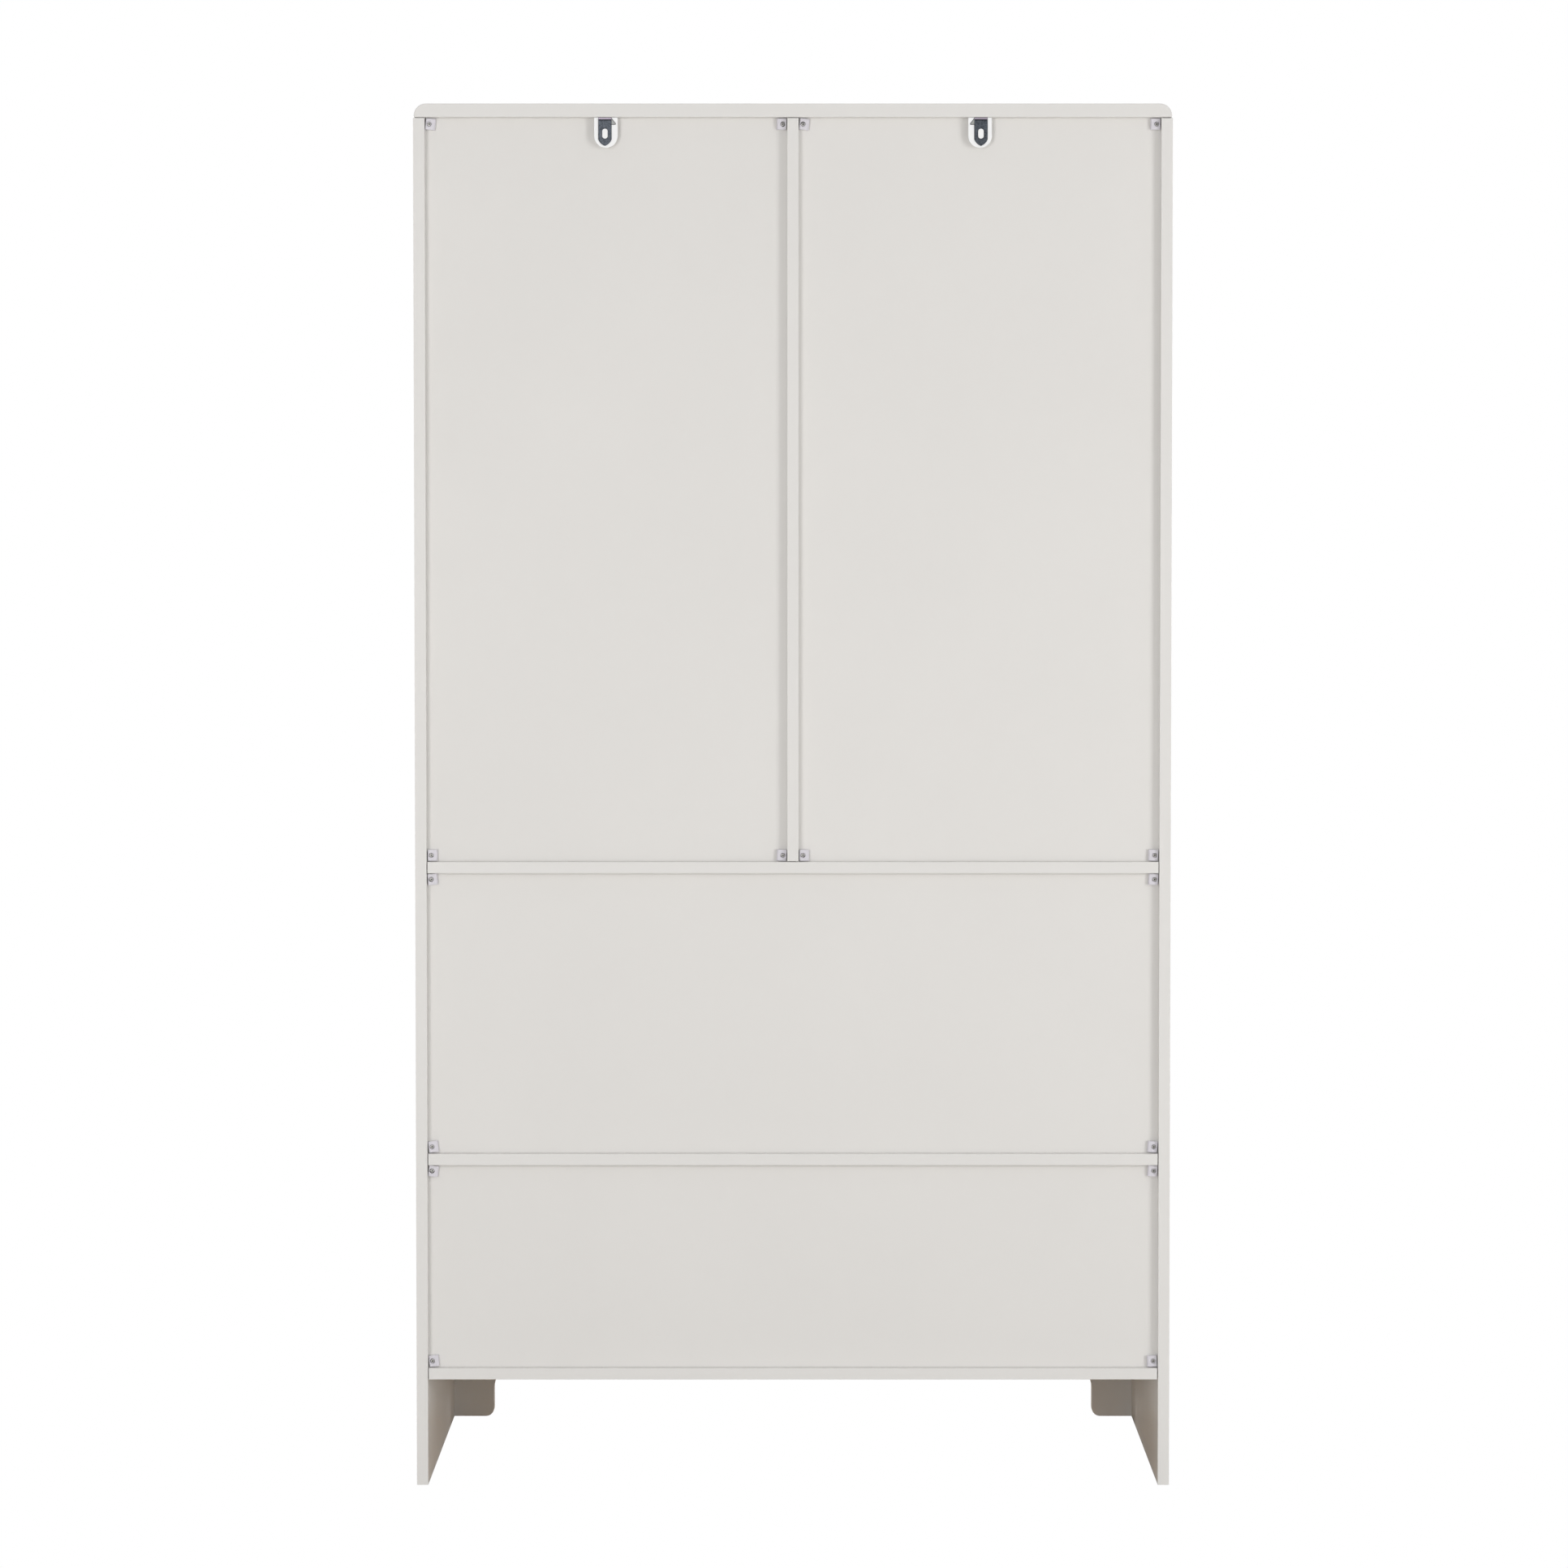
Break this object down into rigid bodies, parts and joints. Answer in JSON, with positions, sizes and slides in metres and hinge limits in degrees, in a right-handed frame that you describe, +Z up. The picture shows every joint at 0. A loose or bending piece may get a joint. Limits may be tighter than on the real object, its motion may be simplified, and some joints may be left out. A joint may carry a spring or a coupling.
{
  "type": "armoire",
  "caption": "Free-standing two-door armoire with a divided upper section, a middle shelf bay, a wide drawer, clipped back boards and brackets that tie it to a wall.",
  "frame": {"origin": "on the floor, under the middle of the overall box, handles included", "axes": "+Z up, front faces -Y, +X to the right as seen from the front"},
  "size_m": [1, 0.53, 1.83],
  "materials": {
    "board": "off-white satin painted board",
    "back": "off-white matt painted thin board",
    "plastic": "white, faintly lilac",
    "zinc": "bright zinc plated steel",
    "handle": "satin nickel"
  },
  "bodies": {
    "carcass": {"top_panel": "board", "side_panel_left": "board", "side_panel_right": "board", "centre_divider": "board", "upper_fixed_shelf": "board", "lower_fixed_shelf": "board", "bottom_panel": "board", "front_apron": "board", "adjustable_shelf_1": "board", "adjustable_shelf_2": "board", "back_board_upper_left": "back", "back_board_upper_right": "back", "back_board_middle": "back", "back_board_lower": "back", "clip_upper_left_low_left": "plastic", "clip_upper_left_low_right": "plastic", "clip_upper_left_high_left": "plastic", "clip_upper_left_high_right": "plastic", "clip_upper_right_low_left": "plastic", "clip_upper_right_low_right": "plastic", "clip_upper_right_high_left": "plastic", "clip_upper_right_high_right": "plastic", "clip_middle_low_left": "plastic", "clip_middle_low_right": "plastic", "clip_middle_high_left": "plastic", "clip_middle_high_right": "plastic", "clip_lower_low_left": "plastic", "clip_lower_low_right": "plastic", "clip_lower_high_left": "plastic", "clip_lower_high_right": "plastic", "wall_bracket_left": "zinc", "wall_bracket_right": "zinc", "rail_socket_outer": "zinc", "rail_socket_inner": "zinc", "hinge_frame_leaf_left": "zinc", "hinge_frame_leaf_right": "zinc", "hinge_pin_left": "zinc", "hinge_pin_right": "zinc", "cabinet_runner_left": "zinc", "cabinet_runner_right": "zinc", "catch_magnet_left": "plastic", "catch_magnet_right": "plastic", "hanging_rail": "handle"},
    "left_door": {"door_left": "board", "door_handle_left": "handle", "hinge_door_leaf_left": "zinc", "catch_plate_left": "zinc"},
    "right_door": {"door_right": "board", "door_handle_right": "handle", "hinge_door_leaf_right": "zinc", "catch_plate_right": "zinc"},
    "drawer": {"drawer_front": "board", "drawer_side_left": "board", "drawer_side_right": "board", "drawer_back": "board", "drawer_bottom": "back", "drawer_handle": "handle", "drawer_runner_left": "zinc", "drawer_runner_right": "zinc"}
  },
  "joints": [
    {"name": "left_door_hinge", "type": "hinge", "parent": "carcass", "child": "left_door", "pos_m": [-0.498, -0.218, 1.12], "axis": [0, 0, -1], "range_deg": [0, 110]},
    {"name": "right_door_hinge", "type": "hinge", "parent": "carcass", "child": "right_door", "pos_m": [0.498, -0.218, 1.12], "axis": [0, 0, 1], "range_deg": [0, 110]},
    {"name": "drawer_slide", "type": "slide", "parent": "carcass", "child": "drawer", "axis": [0, -1, 0], "range_m": [0, 0.3]}
  ]
}
